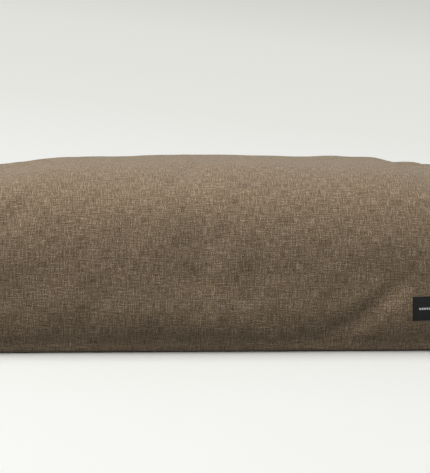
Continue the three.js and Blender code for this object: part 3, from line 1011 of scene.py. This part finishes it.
def liner_floor():
    """The lining bag's base: level, a little uneven, inside the outline of the cover's base."""
    inset, level = 5.6, 5.7
    used, faces = part_of(quads, panels == BASE)
    at = points[used].copy()
    at[:, 0] *= 1 - inset / (HALF_X - SIDE_SETBACK[0])
    at[:, 1] *= 1 - inset / (HALF_Y - SIDE_SETBACK[0])
    at[:, 2] = level + 0.35 * noise_at(at, 30, 21)
    made = put("liner_floor", make_mesh("liner_floor", at * MM, faces, weave[panels == BASE]))
    subdivide(made, 1)
    finished(made, lining, "liner_base")


bag_tree = inner_bag()
liner_floor()
FILLING_GAP = 4.2  # from the lining bag's surface to the fillings, in mm


def stuffed(name, node, depth, grain, seed, material):
    """A filling from its CAD solid, remeshed, roughened inwards and kept inside the inner bag."""
    block = put(name, bpy.data.meshes.new_from_object(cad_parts[node]))
    again = block.modifiers.new("again", "REMESH")
    again.mode, again.voxel_size = "VOXEL", 8 * MM
    mesh = applied(block)
    at = kept_inside(coordinates_of(mesh) / MM, bag_tree, FILLING_GAP)
    move_to(mesh, at)
    rough = 0.5 + 0.5 * noise_at(at, grain, seed) + 0.35 * noise_at(at, grain * 0.45, seed + 1)
    move_to(mesh, at - normals_of(mesh) * (depth * np.clip(rough, 0, 1.2))[:, None])
    shade_smooth(mesh)
    finished(put(name, mesh), material, node)


stuffed("fill_of_flakes", "flake_fill", 3.0, 15, 31, flakes)
stuffed("slab_of_foam", "foam_base_slab", 0.5, 26, 41, slab_foam)


# ---- Zips: nylon coils, stitches and the kept metal parts ----
def coil(name, node, band, surface, zip_half, side):
    """One row of a zip: a nylon coil with its heads at the zip's middle."""
    low, high, thread = surface - 0.1, surface + 1.7, 0.34
    near, far = 0.62, 3.35
    start, end, pitch = -zip_half + 9.3, zip_half - 6.8, 1.35
    turns = int((end - start - 1) / pitch)
    a = np.linspace(0, 2 * math.pi * turns, 9 * turns + 1)
    squash = np.sign(np.cos(a)) * np.abs(np.cos(a)) ** 0.6
    y = (near + far) / 2 + squash * ((far - near) / 2 - thread)
    z = (low + high) / 2 + np.sin(a) * ((high - low) / 2 - thread)
    x = start + 0.5 + (pitch / 2 if side < 0 else 0) + a / (2 * math.pi) * pitch
    points, faces = tube(np.column_stack([x, side * y, z]), thread, 5)
    made = put(name, make_mesh(name, out_of(band, points) * MM, faces))
    finished(made, coil_plastic, node)


def stitches(name, band, lines, tree, thread):
    """Rows of thread stitches laid on a surface. lines are (x0, y0, x1, y1) in a band's frame, in mm."""
    bits = []
    for x0, y0, x1, y1 in lines:
        length = math.hypot(x1 - x0, y1 - y0)
        count = max(1, int(length / 3.6))
        for k in range(count):
            t = (np.array([0.0, 0.12, 0.5, 0.88, 1.0]) * 0.78 + 0.11 + k) / count
            local = np.column_stack([x0 + (x1 - x0) * t, y0 + (y1 - y0) * t])
            at, _ = laid_on(band, local, tree, 0.0)
            lift = np.array([-0.3, 0.16, 0.26, 0.16, -0.3])
            bits.append(tube(at + band[0][2] * lift[:, None], 0.3, 5))
    points, faces = joined(bits)
    finished(put(name, make_mesh(name, points * MM, faces)), thread)


COVER_TAPE, LINER_TAPE = -1.4, -5.9  # the tapes' outer faces, from the band's surface
for prefix, zip_place in (
    ("", (BACK_BAND, COVER_TAPE, COVER_ZIP_HALF)),
    ("liner_", (LEFT_BAND, LINER_TAPE, LINER_ZIP_HALF)),
):
    coil(prefix + "coil_upper", prefix + "zip_teeth_upper", *zip_place, 1)
    coil(prefix + "coil_lower", prefix + "zip_teeth_lower", *zip_place, -1)
edge = COVER_ZIP_HALF - 1
stitches(
    "zip_stitching", BACK_BAND,
    [(-edge, s * 8.6, edge, s * 8.6) for s in (1, -1)]
    + [(s * (edge + k), -8.6, s * (edge + k), 8.6) for s in (-1, 1) for k in (4.5, 5.2, 5.9, 6.6)],
    cover_tree, brown_thread,
)
edge = LINER_ZIP_HALF + 1
stitches(
    "liner_zip_stitching", LEFT_BAND,
    [(-edge, s * 8.4, edge, s * 8.4) for s in (1, -1)]
    + [(s * (edge + 1), -8, s * (edge + 1), 8) for s in (-1, 1)],
    bag_tree, pale_thread,
)

tape_x, tape_y = tape_look("tape_x", "X"), tape_look("tape_y", "Y")
for name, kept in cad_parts.items():
    if kept.hide_render:
        continue
    look, round_off = metal, 0.3
    if "tape" in name:
        look, round_off = (tape_y if name.startswith("liner") else tape_x), 0.12
    for slot in kept.material_slots:
        slot.material = look
    bevel = kept.modifiers.new("bevel", "BEVEL")
    bevel.width, bevel.segments = round_off * MM, 3
    bevel.limit_method, bevel.angle_limit = "ANGLE", math.radians(40)
    bevel.harden_normals = True
    shade_smooth(kept.data)


# ---- The tag and the care label ----
def tag():
    """The woven tag, laid on the cover with its two ends folded under and sewn down."""
    x0, x1, y0, y1 = 206.76, 232.76, -18.0, 7.0
    columns, rows = 66, 64
    u, v = np.linspace(x0, x1, columns), np.linspace(y0, y1, rows)
    gu, gv = np.meshgrid(u, v, indexing="ij")
    local = np.column_stack([gu.ravel(), gv.ravel()])
    _, level = laid_on(FRONT_BAND, local, cover_tree, 0)
    level = level.reshape(gu.shape)
    for _ in range(3):
        inner = level[1:-1, 1:-1]
        inner[:] = (inner + level[:-2, 1:-1] + level[2:, 1:-1] + level[1:-1, :-2] + level[1:-1, 2:]) / 5
    to_end = np.minimum(gu - x0, x1 - gu)
    to_side = np.minimum(gv - y0, y1 - gv)
    soft = 0.25 * np.sin((gv - y0) / 25 * math.pi) ** 2 * np.sin((gu - x0) / 26 * math.pi)
    fold = 0.42 * smooth_step(to_end, 0, 0.5) * (1 - smooth_step(to_end, 2.6, 3.4))
    sewn = 0.25 * np.exp(-(((to_end - 1.5) / 0.45) ** 2))
    selvedge = 0.14 * (1 - smooth_step(to_side, 0.3, 0.9))
    rounded = 0.3 * smooth_step(np.minimum(to_end, to_side), 0, 0.4)
    top = level + 0.55 + rounded + fold + soft + selvedge - sewn
    under = level + 0.35
    at = np.concatenate([np.column_stack([local, top.ravel()]), np.column_stack([local, under.ravel()])])
    faces, count = grid_faces(columns, rows), columns * rows
    ids = np.arange(count).reshape(columns, rows)
    ring = np.concatenate([ids[:-1, 0], ids[-1, :-1], ids[:0:-1, -1], ids[0, :0:-1]])
    rim = [(a + count, b + count, b, a) for a, b in zip(ring, np.roll(ring, -1))]
    middle = np.array([(x0 + x1) / 2, (y0 + y1) / 2])
    uv = grid_uv((gu - middle[0]) * MM, (gv - middle[1]) * MM)
    flipped = faces[:, ::-1] + count
    rim_uv = [[local[i % count] - middle for i in f] for f in rim]
    every = [tuple(f) for f in faces] + [tuple(f) for f in flipped] + rim
    uvs = np.concatenate([uv, uv[:, ::-1], np.array(rim_uv) * MM])
    made = put("woven_tag", make_mesh("woven_tag", out_of(FRONT_BAND, at) * MM, every, uvs))
    finished(made, tag_cloth, "front_tag")
    seams = [(x0 + 1.5, y0 + 0.8, x0 + 1.5, y1 - 0.8), (x1 - 1.5, y0 + 0.8, x1 - 1.5, y1 - 0.8)]
    stitches("tag_stitching", FRONT_BAND, seams, tree_of(made.data), black_thread)


def care_label():
    """The blank care label, a strip of satin hanging inside by the zip."""
    columns, rows = 40, 24
    gu, gv = np.meshgrid(np.linspace(180, 212, columns), np.linspace(6.5, 23.5, rows), indexing="ij")
    along, up = (gu - 180) / 32 * 2.6 * math.pi, (gv - 6.5) / 17 * 1.7 * math.pi
    wave = 0.16 * np.sin(along) + 0.12 * np.sin(up) - 3.25
    at = out_of(BACK_BAND, np.column_stack([gu.ravel(), gv.ravel(), wave.ravel()]))
    uv = grid_uv(gu * MM, gv * MM)
    made = put("satin_label", make_mesh("satin_label", at * MM, grid_faces(columns, rows), uv))
    thick = made.modifiers.new("thick", "SOLIDIFY")
    thick.thickness, thick.offset = 0.2 * MM, 0
    finished(made, satin, "care_label")


tag()
care_label()

# ---- Stage and light ----
# painted light: the backdrop glow's colours, paler by the floor and darker higher up, as a painted falloff of
# the light
PAPER_GLOW_PAINTED_FALLOFF = (
    (0.0, (0.86, 0.865, 0.835)), (0.25, (0.785, 0.79, 0.75)),
    (0.55, (0.745, 0.75, 0.705)), (0.8, (0.63, 0.635, 0.59)),
)  # from the floor up


def backdrop_look():
    """Pale paper, which glows a little far out so that it stays pale there. The glow is painted light, and its
    colour darkens higher up and to the right as a painted falloff of the light.
    """
    n = Nodes("paper", roughness=0.9, specular=0.15)
    x, y, z = n.split(n.object_place())
    n.colour(n.ramp(n.noise(n.object_place(), 1.5), (0.3, (0.87, 0.875, 0.85)), (0.7, (0.885, 0.89, 0.865))))
    away = n.math("SQRT", n.sum((x, x), (y, y)))
    far = n.add("ShaderNodeMapRange", interpolation_type="SMOOTHSTEP")
    n.feed(far, ("Value", away), ("From Min", 1.2), ("From Max", 4.5))
    glow = n.add("ShaderNodeEmission")
    # painted shade: the glow darkens higher up and towards the right
    shade = n.sum((z, 1), (x, 0.12))
    tint = n.ramp(shade, *PAPER_GLOW_PAINTED_FALLOFF)
    n.link(tint, glow.inputs["Color"])
    mixed = n.add("ShaderNodeMixShader")
    n.feed(mixed, (0, far.outputs[0]), (1, n.shader.outputs[0]), (2, glow.outputs[0]))
    n.link(mixed.outputs[0], n.tree.nodes["Material Output"].inputs["Surface"])
    return n.material


def dish():
    """A round, seamless floor that curves up into the backdrop far out on every side."""
    flat, bend, count = 5.0, 2.4, 96
    rings = [(r, 0.0) for r in (0.5, 1.0, 2.0, 3.5, flat)]
    for a in np.linspace(0.08, math.pi / 2, 20):
        rings.append((flat + bend * math.sin(a), bend - bend * math.cos(a)))
    rings += [(flat + bend, 4.0), (flat + bend, 6.5)]
    turns = np.linspace(0, 2 * math.pi, count, endpoint=False)
    verts = [(0, 0, 0)] + [(r * math.cos(t), r * math.sin(t), z) for r, z in rings for t in turns]
    faces = [(0, 1 + k, 1 + (k + 1) % count) for k in range(count)]
    for j in range(len(rings) - 1):
        for k in range(count):
            a, b = 1 + j * count + k, 1 + j * count + (k + 1) % count
            faces.append((a, a + count, b + count, b))
    return make_mesh("backdrop", verts, faces)


backdrop = put("backdrop", dish())
backdrop.data.materials.append(backdrop_look())
backdrop.visible_diffuse = False


def area_light(name, place, target, size, power, colour):
    lamp = bpy.data.lights.new(name, "AREA")
    lamp.shape, lamp.size, lamp.size_y = "RECTANGLE", size[0], size[1]
    lamp.energy, lamp.color = power, colour
    aim(put(name, lamp), place, target)


area_light("overhead", (-1.1, -0.6, 2.6), (0, 0, 0), (4.5, 4.5), 128, (1.0, 0.995, 0.98))
area_light("back_fill", (1.0, 4.5, 1.7), (0, 0.2, 0.1), (3.0, 1.8), 16, (0.99, 0.995, 1.0))
area_light("front_fill", (-1.2, -4.5, 1.3), (0, -0.2, 0.1), (3.0, 1.8), 22, (1.0, 0.99, 0.97))
world = bpy.data.worlds.new("world")
world.use_nodes = True
sky = world.node_tree.nodes["Background"]
sky.inputs["Color"].default_value = (0.97, 0.985, 1.0, 1)
sky.inputs["Strength"].default_value = 0.18
bpy.context.scene.world = world
bpy.context.scene.view_settings.view_transform = "Standard"
